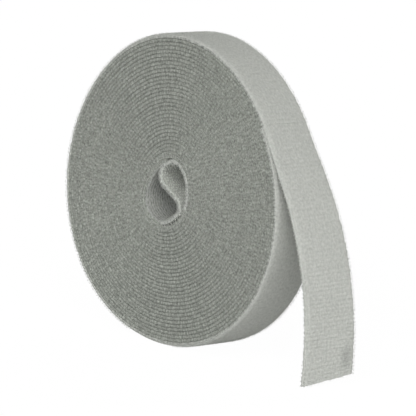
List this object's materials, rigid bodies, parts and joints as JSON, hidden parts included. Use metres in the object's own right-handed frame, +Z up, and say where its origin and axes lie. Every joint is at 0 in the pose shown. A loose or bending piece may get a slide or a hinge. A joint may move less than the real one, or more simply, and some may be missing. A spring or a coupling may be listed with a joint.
{
  "type": "plant tie tape roll",
  "caption": "Coreless roll of soft self-gripping garden tape for tying plants, wound round an open eye, with its free end peeled off and hanging to the ground.",
  "frame": {"origin": "centre of the small flat that the roll stands on, straight below the roll's axis", "axes": "+Y along the roll's axis, away from the face on which the tape winds outwards clockwise; +X to the side where the tail hangs; +Z up"},
  "size_m": [0.1273, 0.02, 0.1054],
  "materials": {
    "wound_tape": "matt grey-green nylon tape, seen mostly on its woven edges",
    "free_tail": "matt grey-green brushed loop face outside, small woven hooks inside"
  },
  "bodies": {
    "roll": {"wound_tape": "wound_tape"},
    "tail": {"free_tail": "free_tail"}
  },
  "joints": [
    {"name": "tail_peel", "type": "hinge", "parent": "roll", "child": "tail", "pos_m": [0.04419, 0, 0.08297], "axis": [0, -1, 0], "range_deg": [0, 80], "stiffness_Nm_per_rad": 0.002}
  ]
}
